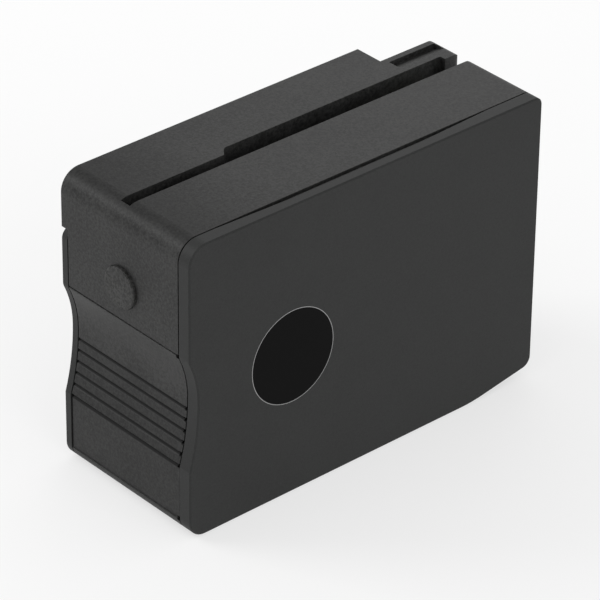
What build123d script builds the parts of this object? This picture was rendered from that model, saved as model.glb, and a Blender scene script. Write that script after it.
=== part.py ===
from build123d import *

import os
from math import atan2, degrees, sqrt

# Wide inkjet ink cartridge: a moulded tank with a lid on each side.
# +X is the way the cartridge goes into the printer, from the ribbed grip to the rear
# face with the ink outlet. +Y is the left side and +Z is up. The origin is the
# bottom centre of the bounding box. All values are in millimetres.

# Overall form
LENGTH = 84.0
WIDTH = 35.4
HEIGHT = 60.3
TOP_FRONT_RADIUS = 4.0
TOP_REAR_RADIUS = 1.8
BOTTOM_FRONT_RADIUS = 3.6
BOTTOM_REAR_RADIUS = 2.4
RAMP_LENGTH = 15.1
RAMP_RISE = 2.5
RAMP_BLEND = 30.0
EDGE_BEVEL = 0.3
CUT_MARGIN = 1.0

# Finger grip in the front face
GRIP_TOP = 37.2
GRIP_DEEPEST = 28.3
GRIP_BOTTOM = 14.4
GRIP_DEPTH = 2.0
GRIP_BREAK = 2.0
EDGE_LINE_ABOVE = 0.4
EDGE_LINE_WIDTH = 0.4
EDGE_LINE_DEPTH = 0.25
RIB_COUNT = 5
RIB_TOP = 25.7
GROOVE_STEEP = 0.7
GROOVE_SLANT = 0.8
GROOVE_DEPTH = 0.5
PANEL_BOTTOM = 3.1
PANEL_DEPTH = 0.2
PIT_HEIGHT = 0.9
PIT_LENGTH = 0.6
PIT_DEPTH = 0.8

# Side lids and their seams
RIGHT_RIM = 3.0
LEFT_RIM = 1.9
LEFT_COVER_TOP = 48.8
LEFT_COVER_ROUND = 2.0
SEAM_GAP = 0.3
LID_WALL = 1.3
RIM_WALL = 1.8
BEAD_INSET = 0.7
BEAD_WIDTH = 0.7
LEDGE_GAP = 0.5
FLASH_START = 4.0
FLASH_END = 76.0
FLASH_TAPER = 20.0
FLASH_WIDTH = 0.9
FLASH_DEPTH = 0.6

# Tank walls
WALL = 1.8
LEFT_WALL = 2.0
SLOT_WALL = 2.0

# Stepped slot in the top
SLOT_START = 2.3
SLOT_STEP = 25.9
SLOT_END = 80.0
SLOT_RIGHT = 1.0
SLOT_NARROW = 2.5
SLOT_WIDE = 4.4
SLOT_DEPTH = 9.5
SLOT_EXIT = 3.1
STEP_RUN = 1.5
STEP_ROUND = 1.4
HOOK_ROUND = 1.5

# Left rail beside the slot
RAIL_END = 70.3
NOTCH_LEFT = 11.2
NOTCH_ROUND = 1.4
POCKET_START = 71.3
POCKET_LENGTH = 11.4
POCKET_LEFT = 9.9
POCKET_WIDTH = 2.8
POCKET_DEPTH = 1.2

# Filling hole in the front face, with its stopper and round cap
FILL_HEIGHT = 44.4
FILL_OFFSET = 0.8
FILL_CAP_RADIUS = 4.1
FILL_CAP_PROUD = 0.7
FILL_CAP_SEAT = 0.8
FILL_CAP_BEVEL = 0.2
FILL_WALL = 1.4
FILL_BOSS = 4.5
CAP_PLAY = 0.05
FILL_HOLE_RADIUS = 2.0
FILL_PLUG_LENGTH = 3.6
FILL_PLUG_TIP = 0.5

# Chip board on the right wall of the wide slot
CHIP_LENGTH = 11.0
CHIP_HEIGHT = 7.2
CHIP_THICKNESS = 0.8
CHIP_FROM_END = 1.4
CHIP_BELOW_TOP = 1.3
CHIP_GAP = 0.1
CONTACT_COUNT = 4
CONTACT_WIDTH = 1.7
CONTACT_HEIGHT = 4.6
CONTACT_PITCH = 2.4
CONTACT_THICKNESS = 0.05
DIE_LENGTH = 4.2
DIE_HEIGHT = 3.0
DIE_THICKNESS = 0.35
DIE_GAP = 0.1

# Ink outlet in the rear face
OUTLET_HEIGHT = 13.5
OUTLET_BORE = 4.0
OUTLET_DEPTH = 14.5
OUTLET_WALL = 1.6
OUTLET_END_WALL = 1.4
CAP_RADIUS = 5.6
CAP_THICKNESS = 1.4
CAP_SUNK = 0.4
CAP_HOLE = 2.7
CAP_FLANGE = 3.2
CAP_LEAD_IN = 0.6
SEAL_LENGTH = 3.4
SEAL_HOLE = 2.0
SEAL_LIP = 0.7
VALVE_CLEARANCE = 0.08
VALVE_HEAD = 1.6
VALVE_STEM = 1.3
VALVE_STEM_CHAMFER = 0.4
VALVE_FLUTES = 4
VALVE_FLUTE_RADIUS = 0.9
VALVE_TRAVEL = 2.0
VALVE_STOP_GAP = 0.2
SPRING_RADIUS = 2.5
SPRING_WIRE = 0.25
SPRING_TURNS = 2.5
COIL_GAP = 0.05
INLET_HOLES = 3
INLET_RADIUS = 0.8
INLET_CIRCLE = 2.3
FILTER_THICKNESS = 0.3
FILTER_RIM = 0.4

# Air port in the rear face
AIR_HEIGHT = 35.5
AIR_BORE = 2.4
AIR_DEPTH = 7.5
AIR_WALL = 1.4
AIR_CAP_RADIUS = 3.6
AIR_CAP_THICKNESS = 1.0
AIR_CAP_HOLE = 1.4
AIR_SEAL_LENGTH = 2.6
AIR_SEAL_HOLE = 0.9
AIR_FLANGE = 2.6
DUCT_RADIUS = 0.6
DUCT_WALL = 1.0
DUCT_FROM_REAR = 6.4

# Vent labyrinth in the left wall
VENT_PITCH = 3.0
VENT_LEGS = 7
VENT_RUN = 14.0
VENT_WIDTH = 0.8
VENT_DEPTH = 0.6
VENT_MARGIN = 1.2
FILM_THICKNESS = 0.1

# Pressure regulator in the tank
BAG_LENGTH = 42.0
BAG_HEIGHT = 26.0
BAG_THICKNESS = 4.0
BAG_CORNER = 5.0
BAG_CENTRE = 38.0
BAG_CENTRE_HEIGHT = 27.0
BAG_SEAM = 3.0
BAG_FILM = 0.4
FITTING_RADIUS = 3.0
FITTING_SIDES = 6
FITTING_FLANGE = 5.0
FITTING_HEIGHT = 1.6
FLANGE_THICKNESS = 0.6
NIPPLE_RADIUS = 1.5
NIPPLE_LENGTH = 1.2
PLATE_MARGIN = 5.0
PLATE_THICKNESS = 0.8
PLATE_LIP = 1.6
BAG_SPRING_RADIUS = 6.0
BAG_SPRING_WIRE = 0.4
BAG_SPRING_TURNS = 2.5
SPRING_CUP_WALL = 1.0
SPRING_CUP_HEIGHT = 1.5
CUP_CLEARANCE = 0.3

# Planes that the pieces share
FRONT = (FILL_CAP_PROUD - LENGTH) / 2
REAR = FRONT + LENGTH
RIGHT = -WIDTH / 2
LEFT = WIDTH / 2
RIGHT_SEAM = RIGHT + RIGHT_RIM
LEFT_SEAM = LEFT - LEFT_RIM
BODY_RIGHT = RIGHT_SEAM + SEAM_GAP / 2
BODY_LEFT = LEFT_SEAM - SEAM_GAP / 2
LEDGE = LEFT_COVER_TOP + LEDGE_GAP
SLOT_FLOOR = HEIGHT - SLOT_DEPTH
TANK_LEFT = BODY_LEFT - LEFT_WALL
DUCT_X = REAR - DUCT_FROM_REAR
BAG_X = FRONT + BAG_CENTRE
BAG_LEFT = TANK_LEFT - FITTING_HEIGHT
BAG_RIGHT = BAG_LEFT - BAG_THICKNESS
LID_INSIDE = RIGHT + LID_WALL
CHIP_X = FRONT + SLOT_END - CHIP_FROM_END - CHIP_LENGTH / 2
CHIP_Z = HEIGHT - CHIP_BELOW_TOP - CHIP_HEIGHT / 2
SEAL_OUTER_X = REAR - CAP_SUNK - CAP_THICKNESS
SEAL_INNER_X = SEAL_OUTER_X - SEAL_LENGTH - SEAL_LIP
HEAD_INNER_X = SEAL_INNER_X - VALVE_HEAD
BORE_END_X = REAR - OUTLET_DEPTH


def slab(profile, low, high):
    """Extrude a side profile, drawn in X and Z, from one Y to another."""
    return extrude(Plane.XZ.offset(-high) * profile, amount=high - low)


def across(x, y, z):
    """Axis along +Y through a point."""
    return Plane(origin=(x, y, z), x_dir=(1, 0, 0), z_dir=(0, 1, 0))


def inward(x, y, z):
    """Axis along -X through a point, from the rear face into the tank."""
    return Plane(origin=(x, y, z), x_dir=(0, 1, 0), z_dir=(-1, 0, 0))


def outward(x, y, z):
    """Axis along +X through a point."""
    return Plane(origin=(x, y, z), x_dir=(0, 1, 0), z_dir=(1, 0, 0))


def rod(place, radius, length):
    """Solid cylinder that starts at a plane and follows its normal."""
    return extrude(place * Circle(radius), amount=length)


def ring(place, outer, inner, length):
    """Solid ring that starts at a plane and follows its normal."""
    return extrude(place * (Circle(outer) - Circle(inner)), amount=length)


def round_corner(face, x, z, radius):
    """Round the corner of a sketch that is nearest to a point."""
    corner = face.vertices().sort_by_distance((x, z))[0]
    return fillet(corner, radius)


def side_profile():
    """Outline of the cartridge seen from its right side, with the grip hollow."""
    deepest = (FRONT + GRIP_DEPTH, GRIP_DEEPEST)
    top = (FRONT, GRIP_TOP)
    bottom = (FRONT, GRIP_BOTTOM)
    ramp = (REAR - RAMP_LENGTH, 0)
    lower_edge = Polyline(bottom, (FRONT, 0), ramp, (REAR, RAMP_RISE))
    upper_edge = Polyline((REAR, RAMP_RISE), (REAR, HEIGHT), (FRONT, HEIGHT), top)
    upper_hollow = TangentArc(deepest, top, tangent=(0, 1))
    lower_hollow = TangentArc(deepest, bottom, tangent=(0, -1))
    profile = make_face(lower_edge + upper_edge + upper_hollow + lower_hollow)
    profile = round_corner(profile, FRONT, 0, BOTTOM_FRONT_RADIUS)
    profile = round_corner(profile, *ramp, RAMP_BLEND)
    profile = round_corner(profile, REAR, RAMP_RISE, BOTTOM_REAR_RADIUS)
    profile = round_corner(profile, REAR, HEIGHT, TOP_REAR_RADIUS)
    profile = round_corner(profile, FRONT, HEIGHT, TOP_FRONT_RADIUS)
    return round_corner(profile, *top, GRIP_BREAK)


def patch(x_low, x_high, z_low, z_high):
    """Rectangle in a sketch, from its limits."""
    centre = Pos((x_low + x_high) / 2, (z_low + z_high) / 2)
    return centre * Rectangle(x_high - x_low, z_high - z_low)


def hollow_depth(z):
    """Depth of the lower half of the grip hollow at a height."""
    drop = GRIP_DEEPEST - GRIP_BOTTOM
    radius = (drop**2 + GRIP_DEPTH**2) / (2 * GRIP_DEPTH)
    return GRIP_DEPTH - radius + sqrt(radius**2 - (GRIP_DEEPEST - z) ** 2)


def weld_bead(area, low, high):
    """Raised bead that follows the edge of a lid and closes its seam."""
    outer = offset(area, amount=-BEAD_INSET)
    inner = offset(area, amount=-BEAD_INSET - BEAD_WIDTH)
    return slab(outer - inner, low, high)


def bevelled_slab(area, low, high, outer_face):
    """Slab whose edges are bevelled on the face that shows."""
    block = slab(area, low, high)
    edges = block.faces().sort_by(Axis.Y)[outer_face].edges()
    return chamfer(edges, EDGE_BEVEL)


def left_lid_area(profile):
    """Part of the side outline that the left lid covers, rounded at its upper corners."""
    area = profile & patch(FRONT - CUT_MARGIN, REAR + CUT_MARGIN, -CUT_MARGIN, LEFT_COVER_TOP)
    area = round_corner(area, FRONT, LEFT_COVER_TOP, LEFT_COVER_ROUND)
    return round_corner(area, REAR, LEFT_COVER_TOP, LEFT_COVER_ROUND)


def body_block(profile):
    """Solid form of the tank, with the rail on its left shoulder."""
    rail_end = FRONT + RAIL_END
    rail_area = profile & patch(FRONT - CUT_MARGIN, rail_end, LEDGE, HEIGHT + CUT_MARGIN)
    rail = bevelled_slab(rail_area, BODY_LEFT, LEFT, -1)
    block = slab(profile, BODY_RIGHT, BODY_LEFT) + rail
    notch_plan = patch(rail_end, REAR + CUT_MARGIN, NOTCH_LEFT, LEFT + CUT_MARGIN)
    return block - extrude(Pos(0, 0, LEDGE) * notch_plan, amount=HEIGHT)


def upright_corner(x, y, into_y, radius, floor):
    """Waste outside a rounded upright corner of the rear face."""
    square = Pos(x - radius / 2, y + into_y * radius / 2) * Rectangle(radius, radius)
    rest = square - Pos(x - radius, y + into_y * radius) * Circle(radius)
    return extrude(Pos(0, 0, floor) * rest, amount=HEIGHT)


def slot_plan():
    """Slot seen from above: a narrow run, a wide run and its way out at the rear."""
    step = FRONT + SLOT_STEP
    wide_start = step + STEP_RUN
    end = FRONT + SLOT_END
    narrow_left = SLOT_RIGHT + SLOT_NARROW
    wide_left = SLOT_RIGHT + SLOT_WIDE
    narrow = patch(FRONT + SLOT_START, step, SLOT_RIGHT, narrow_left)
    near_side = [(step, SLOT_RIGHT), (end, SLOT_RIGHT)]
    far_side = [(end, wide_left), (wide_start, wide_left), (step, narrow_left)]
    wide = Polygon(*near_side, *far_side, align=None)
    way_out = patch(end, REAR + CUT_MARGIN, SLOT_RIGHT, SLOT_RIGHT + SLOT_EXIT)
    return round_corner(narrow + wide + way_out, wide_start, wide_left, STEP_ROUND)


def pocket():
    """Recess in the rail, whose floor slants up from its left wall to the top."""
    mouth = POCKET_WIDTH * (POCKET_DEPTH + CUT_MARGIN) / POCKET_DEPTH
    deepest = (POCKET_LEFT, HEIGHT - POCKET_DEPTH)
    above = HEIGHT + CUT_MARGIN
    section = Polygon(deepest, (POCKET_LEFT, above), (POCKET_LEFT - mouth, above), align=None)
    return extrude(outward(FRONT + POCKET_START, 0, 0) * section, amount=POCKET_LENGTH)


def top_cuts():
    """Slot with its rounded mouth at the rear, and the pocket in the rail."""
    exit_left = SLOT_RIGHT + SLOT_EXIT
    slot = extrude(Pos(0, 0, SLOT_FLOOR) * slot_plan(), amount=HEIGHT)
    mouth = upright_corner(REAR, SLOT_RIGHT, -1, HOOK_ROUND, SLOT_FLOOR)
    hook = upright_corner(REAR, exit_left, 1, HOOK_ROUND, SLOT_FLOOR)
    shoulder = upright_corner(REAR, NOTCH_LEFT, -1, NOTCH_ROUND, LEDGE)
    return slot + mouth + hook + shoulder + pocket()


def groove_heights():
    """Heights of the grooves above, between and below the grip ribs."""
    pitch = (RIB_TOP - GRIP_BOTTOM) / RIB_COUNT
    return [RIB_TOP - number * pitch for number in range(RIB_COUNT + 1)]


def grip_cuts():
    """Grooves of the grip, the sunk panel below them and the line along its upper edge."""
    cuts = []
    for z in groove_heights():
        x = FRONT + max(hollow_depth(z), PANEL_DEPTH)
        mouth = x - GROOVE_DEPTH
        corners = [(mouth, z + GROOVE_STEEP), (mouth, z - GROOVE_SLANT), (x + GROOVE_DEPTH, z)]
        cuts.append(slab(Polygon(*corners, align=None), RIGHT, LEFT))
    panel = patch(FRONT - CUT_MARGIN, FRONT + PANEL_DEPTH, PANEL_BOTTOM, GRIP_BOTTOM)
    line = Pos(FRONT, GRIP_TOP + EDGE_LINE_ABOVE) * Rectangle(2 * EDGE_LINE_DEPTH, EDGE_LINE_WIDTH)
    return cuts + [slab(panel, RIGHT, LEFT), slab(line, RIGHT, LEFT)]


def seam_pits():
    """Small square pits beside the right seam, at each groove and at both ends of the front."""
    places = [(hollow_depth(z), z) for z in groove_heights()]
    pits = []
    for depth, z in places + [(0, GRIP_TOP), (0, PANEL_BOTTOM)]:
        half = PIT_HEIGHT / 2
        area = patch(FRONT - CUT_MARGIN, FRONT + depth + PIT_DEPTH, z - half, z + half)
        pits.append(slab(area, BODY_RIGHT, BODY_RIGHT + PIT_LENGTH))
    return pits


def tank_hollow(profile):
    """Ink chamber, open on the right: it passes under the slot and up on both sides of it."""
    area = offset(profile, amount=-WALL)
    under_slot = area & patch(FRONT, REAR, 0, LEDGE - WALL)
    under_rail = area & patch(FRONT, FRONT + RAIL_END - WALL, 0, HEIGHT)
    hollow = slab(area, BODY_RIGHT, SLOT_RIGHT - SLOT_WALL)
    hollow += slab(under_slot, BODY_RIGHT, TANK_LEFT)
    return hollow + slab(under_rail, SLOT_RIGHT + SLOT_WIDE + SLOT_WALL, TANK_LEFT)


def outlet_tower():
    """Boss of the ink outlet, from the rear wall into the tank."""
    place = inward(REAR - WALL / 2, 0, OUTLET_HEIGHT)
    flange = rod(place, CAP_RADIUS + OUTLET_WALL, CAP_FLANGE)
    length = OUTLET_DEPTH + OUTLET_END_WALL - WALL / 2
    return flange + rod(place, OUTLET_BORE + OUTLET_WALL, length)


def outlet_cuts():
    """Bore, cap seat and inlet holes of the ink outlet."""
    bore = rod(inward(REAR, 0, OUTLET_HEIGHT), OUTLET_BORE, OUTLET_DEPTH)
    seat = rod(inward(REAR, 0, OUTLET_HEIGHT), CAP_RADIUS, CAP_SUNK + CAP_THICKNESS)
    end = inward(BORE_END_X, 0, OUTLET_HEIGHT)
    holes = Sketch() + PolarLocations(INLET_CIRCLE, INLET_HOLES) * Circle(INLET_RADIUS)
    return bore + seat + extrude(end * holes, amount=OUTLET_END_WALL)


def air_tower():
    """Boss of the air port, and the duct that takes the air to the left wall."""
    place = inward(REAR - WALL / 2, 0, AIR_HEIGHT)
    flange = rod(place, AIR_CAP_RADIUS + AIR_WALL, AIR_FLANGE)
    boss = rod(place, AIR_BORE + AIR_WALL, AIR_DEPTH + AIR_WALL - WALL / 2)
    width = 2 * (DUCT_RADIUS + DUCT_WALL)
    duct = slab(Pos(DUCT_X, AIR_HEIGHT) * Rectangle(width, width), 0, TANK_LEFT + LEFT_WALL / 2)
    return flange + boss + duct


def air_cuts():
    """Bore, cap seat and duct of the air port."""
    bore = rod(inward(REAR, 0, AIR_HEIGHT), AIR_BORE, AIR_DEPTH)
    seat = rod(inward(REAR, 0, AIR_HEIGHT), AIR_CAP_RADIUS, CAP_SUNK + AIR_CAP_THICKNESS)
    duct = rod(across(DUCT_X, 0, AIR_HEIGHT), DUCT_RADIUS, BODY_LEFT)
    return bore + seat + duct


def fill_boss():
    """Boss of the filling hole, behind the front wall."""
    place = outward(FRONT + WALL / 2, FILL_OFFSET, FILL_HEIGHT)
    return rod(place, FILL_CAP_RADIUS + FILL_WALL, FILL_BOSS)


def fill_cuts():
    """Filling hole, with the seat of the round cap over it."""
    place = outward(FRONT, FILL_OFFSET, FILL_HEIGHT)
    cap_seat = rod(place, FILL_CAP_RADIUS + CAP_PLAY, FILL_CAP_SEAT)
    return cap_seat + rod(place, FILL_HOLE_RADIUS, FILL_BOSS + WALL)


def left_wall_cuts():
    """Vent channel in the left wall, with the hole that takes the bag's fitting."""
    channel = slab(vent_area(VENT_WIDTH), BODY_LEFT - VENT_DEPTH, BODY_LEFT)
    bag_hole = rod(across(BAG_X, TANK_LEFT, BAG_CENTRE_HEIGHT), NIPPLE_RADIUS, NIPPLE_LENGTH)
    bag_vent = rod(across(BAG_X, TANK_LEFT, BAG_CENTRE_HEIGHT), DUCT_RADIUS, LEFT_WALL)
    return channel + bag_hole + bag_vent


def vent_path():
    """Corners of the vent: a zigzag from the duct, then on to the bag's fitting."""
    points = [(DUCT_X, AIR_HEIGHT), (DUCT_X, AIR_HEIGHT - VENT_RUN)]
    for leg in range(VENT_LEGS):
        x = DUCT_X - (leg + 1) * VENT_PITCH
        points.append((x, points[-1][1]))
        points.append((x, AIR_HEIGHT if leg % 2 == 0 else AIR_HEIGHT - VENT_RUN))
    points.append((BAG_X, points[-1][1]))
    points.append((BAG_X, BAG_CENTRE_HEIGHT))
    return points


def vent_area(width):
    """Runs of the vent at a width."""
    points = vent_path()
    area = Sketch()
    for (x_one, z_one), (x_two, z_two) in zip(points, points[1:]):
        x_low, x_high = sorted((x_one, x_two))
        z_low, z_high = sorted((z_one, z_two))
        half = width / 2
        area += patch(x_low - half, x_high + half, z_low - half, z_high + half)
    return area


def chip_recess():
    """Recess for the chip board in the slot's right wall, with a pit for its die."""
    place = Pos(CHIP_X, CHIP_Z)
    board = place * Rectangle(CHIP_LENGTH + 2 * CHIP_GAP, CHIP_HEIGHT + 2 * CHIP_GAP)
    pit = place * Rectangle(DIE_LENGTH + 2 * DIE_GAP, DIE_HEIGHT + 2 * DIE_GAP)
    board_bottom = SLOT_RIGHT - CHIP_THICKNESS
    pit_bottom = board_bottom - DIE_THICKNESS - DIE_GAP
    return slab(board, board_bottom, SLOT_RIGHT) + slab(pit, pit_bottom, board_bottom)


def body(profile):
    """Moulded tank with its grip, slot, ports and vent channel."""
    tank = body_block(profile) - tank_hollow(profile)
    tank += outlet_tower() + air_tower() + fill_boss()
    tank += weld_bead(profile, RIGHT_SEAM - SEAM_GAP / 2, BODY_RIGHT)
    tank += weld_bead(left_lid_area(profile), BODY_LEFT, LEFT_SEAM + SEAM_GAP / 2)
    tank -= outlet_cuts() + air_cuts() + fill_cuts()
    tank -= left_wall_cuts()
    tank -= top_cuts() + chip_recess()
    return tank - grip_cuts() - seam_pits()


def flash_groove():
    """Long shallow trap for weld flash along the top of the right seam."""
    start = FRONT + FLASH_START
    end = FRONT + FLASH_END
    edge = RIGHT_SEAM - FLASH_WIDTH
    run = [(start + FLASH_TAPER, edge), (end - FLASH_TAPER, edge)]
    plan = Polygon((start, RIGHT_SEAM), *run, (end, RIGHT_SEAM), align=None)
    return extrude(Pos(0, 0, HEIGHT - FLASH_DEPTH) * plan, amount=HEIGHT)


def right_cover(profile):
    """Lid over the right side, with a deep rim and a cup for the bag's spring."""
    lid = bevelled_slab(profile, RIGHT, RIGHT_SEAM - SEAM_GAP / 2, 0)
    lid -= slab(offset(profile, amount=-RIM_WALL), LID_INSIDE, RIGHT_SEAM)
    lid -= flash_groove()
    inner = BAG_SPRING_RADIUS + BAG_SPRING_WIRE + CUP_CLEARANCE
    place = across(BAG_X, LID_INSIDE, BAG_CENTRE_HEIGHT)
    return lid + ring(place, inner + SPRING_CUP_WALL, inner, SPRING_CUP_HEIGHT)


def left_cover(profile):
    """Lid over the vent channel in the lower part of the left side."""
    area = left_lid_area(profile)
    lid = bevelled_slab(area, LEFT_SEAM + SEAM_GAP / 2, LEFT, -1)
    return lid - slab(offset(area, amount=-RIM_WALL), LEFT_SEAM, LEFT - LID_WALL)


def fill_cap():
    """Round cap over the filling hole, standing a little proud of the front face."""
    place = outward(FRONT - FILL_CAP_PROUD, FILL_OFFSET, FILL_HEIGHT)
    cap = rod(place, FILL_CAP_RADIUS, FILL_CAP_SEAT + FILL_CAP_PROUD)
    rim = cap.edges().filter_by(GeomType.CIRCLE).sort_by(Axis.X)[0]
    return chamfer(rim, FILL_CAP_BEVEL)


def fill_plug():
    """Stopper pressed into the filling hole, under the round cap."""
    place = outward(FRONT + FILL_CAP_SEAT, FILL_OFFSET, FILL_HEIGHT)
    plug = rod(place, FILL_HOLE_RADIUS, FILL_PLUG_LENGTH)
    tip = plug.edges().filter_by(GeomType.CIRCLE).sort_by(Axis.X)[-1]
    return chamfer(tip, FILL_PLUG_TIP)


def chip_board():
    """Small circuit board, flush with the wall of the slot."""
    board = Pos(CHIP_X, CHIP_Z) * Rectangle(CHIP_LENGTH, CHIP_HEIGHT)
    return slab(board, SLOT_RIGHT - CHIP_THICKNESS, SLOT_RIGHT)


def chip_contacts():
    """Contact pads on the face of the board."""
    pad = Rectangle(CONTACT_WIDTH, CONTACT_HEIGHT)
    pads = Sketch() + GridLocations(CONTACT_PITCH, 0, CONTACT_COUNT, 1) * pad
    return slab(Pos(CHIP_X, CHIP_Z) * pads, SLOT_RIGHT, SLOT_RIGHT + CONTACT_THICKNESS)


def chip_die():
    """Potted die on the back of the board."""
    back = SLOT_RIGHT - CHIP_THICKNESS
    die = Pos(CHIP_X, CHIP_Z) * Rectangle(DIE_LENGTH, DIE_HEIGHT)
    return slab(die, back - DIE_THICKNESS, back)


def outlet_cap():
    """Ring that holds the outlet's seal, with a lead-in for the printer's needle."""
    cap = ring(inward(REAR - CAP_SUNK, 0, OUTLET_HEIGHT), CAP_RADIUS, CAP_HOLE, CAP_THICKNESS)
    rear_edges = cap.edges().filter_by(GeomType.CIRCLE).group_by(Axis.X)[-1]
    mouth = rear_edges.sort_by(SortBy.RADIUS)[0]
    return chamfer(mouth, CAP_LEAD_IN)


def outlet_seal():
    """Rubber seal with a raised lip that the valve closes on."""
    place = inward(SEAL_OUTER_X, 0, OUTLET_HEIGHT)
    collar = ring(place, OUTLET_BORE, SEAL_HOLE, SEAL_LENGTH + SEAL_LIP)
    lip_floor = inward(SEAL_OUTER_X - SEAL_LENGTH, 0, OUTLET_HEIGHT)
    return collar - ring(lip_floor, OUTLET_BORE, SEAL_HOLE + SEAL_LIP, SEAL_LIP)


def outlet_valve():
    """Fluted plunger that the spring holds against the seal."""
    place = inward(SEAL_INNER_X, 0, OUTLET_HEIGHT)
    radius = OUTLET_BORE - VALVE_CLEARANCE
    flutes = Sketch() + PolarLocations(radius, VALVE_FLUTES) * Circle(VALVE_FLUTE_RADIUS)
    head = extrude(place * (Circle(radius) - flutes), amount=VALVE_HEAD)
    stem_length = HEAD_INNER_X - BORE_END_X - VALVE_TRAVEL - VALVE_STOP_GAP
    stem = rod(inward(HEAD_INNER_X, 0, OUTLET_HEIGHT), VALVE_STEM, stem_length)
    tip = stem.edges().filter_by(GeomType.CIRCLE).sort_by(Axis.X)[0]
    return head + chamfer(tip, VALVE_STEM_CHAMFER)


def coil(place, radius, length, turns, wire):
    """Square wire wound along a plane's normal."""
    path = Helix(length / turns, length, radius)
    section = Plane(origin=path @ 0, z_dir=path % 0) * RegularPolygon(wire, 4)
    return place * sweep(section, path=path, is_frenet=True)


def valve_spring():
    """Coil between the end of the outlet bore and the head of the valve."""
    start = BORE_END_X + SPRING_WIRE + COIL_GAP
    end = HEAD_INNER_X - SPRING_WIRE - COIL_GAP
    place = outward(start, 0, OUTLET_HEIGHT)
    return coil(place, SPRING_RADIUS, end - start, SPRING_TURNS, SPRING_WIRE)


def outlet_filter():
    """Screen over the inlet holes, on the tank side of the outlet."""
    place = inward(BORE_END_X - OUTLET_END_WALL, 0, OUTLET_HEIGHT)
    return rod(place, OUTLET_BORE + FILTER_RIM, FILTER_THICKNESS)


def air_cap():
    """Ring that holds the air port's seal."""
    place = inward(REAR - CAP_SUNK, 0, AIR_HEIGHT)
    return ring(place, AIR_CAP_RADIUS, AIR_CAP_HOLE, AIR_CAP_THICKNESS)


def air_seal():
    """Rubber seal of the air port."""
    x = REAR - CAP_SUNK - AIR_CAP_THICKNESS
    return ring(inward(x, 0, AIR_HEIGHT), AIR_BORE, AIR_SEAL_HOLE, AIR_SEAL_LENGTH)


def bag_outline(inset):
    """Outline of the bag with its corners cut off, drawn in from its edge."""
    outline = Rectangle(BAG_LENGTH - 2 * inset, BAG_HEIGHT - 2 * inset)
    return chamfer(outline.vertices(), BAG_CORNER - (2 - sqrt(2)) * inset)


def air_bag():
    """Film bag that fills with air as the ink is used, with a seam all round."""
    half = BAG_THICKNESS / 2
    middle = across(BAG_X, BAG_RIGHT + half, BAG_CENTRE_HEIGHT)
    slope = degrees(atan2(BAG_SEAM / 2, half))
    left = extrude(middle * bag_outline(BAG_SEAM / 2), amount=half, taper=slope)
    seam = extrude(middle * bag_outline(0), amount=BAG_FILM / 2, both=True)
    return left + mirror(left, about=middle) + seam


def bag_fitting():
    """Flanged nipple that joins the bag to the vent in the left wall."""
    place = across(BAG_X, BAG_LEFT, BAG_CENTRE_HEIGHT)
    flange = rod(place, FITTING_FLANGE, FLANGE_THICKNESS)
    neck = extrude(place * RegularPolygon(FITTING_RADIUS, FITTING_SIDES), amount=FITTING_HEIGHT)
    nipple = rod(across(BAG_X, TANK_LEFT, BAG_CENTRE_HEIGHT), NIPPLE_RADIUS, NIPPLE_LENGTH)
    return flange + neck + nipple - rod(place, DUCT_RADIUS, FITTING_HEIGHT + NIPPLE_LENGTH)


def bag_plate():
    """Stiff tray that the spring presses on the bag, with a seat for the spring."""
    place = across(BAG_X, BAG_RIGHT - PLATE_LIP, BAG_CENTRE_HEIGHT)
    opening = bag_outline(PLATE_MARGIN + PLATE_THICKNESS)
    tray = extrude(place * bag_outline(PLATE_MARGIN), amount=PLATE_LIP)
    tray -= extrude(place * opening, amount=PLATE_LIP - PLATE_THICKNESS)
    return tray + rod(place, BAG_SPRING_RADIUS - BAG_SPRING_WIRE - CUP_CLEARANCE, PLATE_LIP)


def bag_spring():
    """Coil between the right lid and the plate on the bag."""
    start = LID_INSIDE + BAG_SPRING_WIRE + COIL_GAP
    end = BAG_RIGHT - PLATE_THICKNESS - BAG_SPRING_WIRE - COIL_GAP
    place = across(BAG_X, start, BAG_CENTRE_HEIGHT)
    return coil(place, BAG_SPRING_RADIUS, end - start, BAG_SPRING_TURNS, BAG_SPRING_WIRE)


def vent_film():
    """Film that closes the vent channel."""
    return slab(vent_area(VENT_WIDTH + 2 * VENT_MARGIN), BODY_LEFT, BODY_LEFT + FILM_THICKNESS)


def main():
    """Build every piece and write one file for each."""
    profile = side_profile()
    pieces = {
        "body": body(profile),
        "right_cover": right_cover(profile),
        "left_cover": left_cover(profile),
        "fill_cap": fill_cap(),
        "fill_plug": fill_plug(),
        "chip_board": chip_board(),
        "chip_contacts": chip_contacts(),
        "chip_die": chip_die(),
        "outlet_cap": outlet_cap(),
        "outlet_seal": outlet_seal(),
        "outlet_valve": outlet_valve(),
        "valve_spring": valve_spring(),
        "outlet_filter": outlet_filter(),
        "air_cap": air_cap(),
        "air_seal": air_seal(),
        "air_bag": air_bag(),
        "bag_fitting": bag_fitting(),
        "bag_plate": bag_plate(),
        "bag_spring": bag_spring(),
        "vent_film": vent_film(),
    }
    os.makedirs("parts", exist_ok=True)
    for name, piece in pieces.items():
        export_step(piece, f"parts/{name}.step")
        print(name, round(piece.volume, 1))


main()
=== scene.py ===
import logging
import math
from dataclasses import dataclass, field
from enum import Enum
from typing import ClassVar

import bmesh
import bpy
from mathutils import Matrix, Vector


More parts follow.
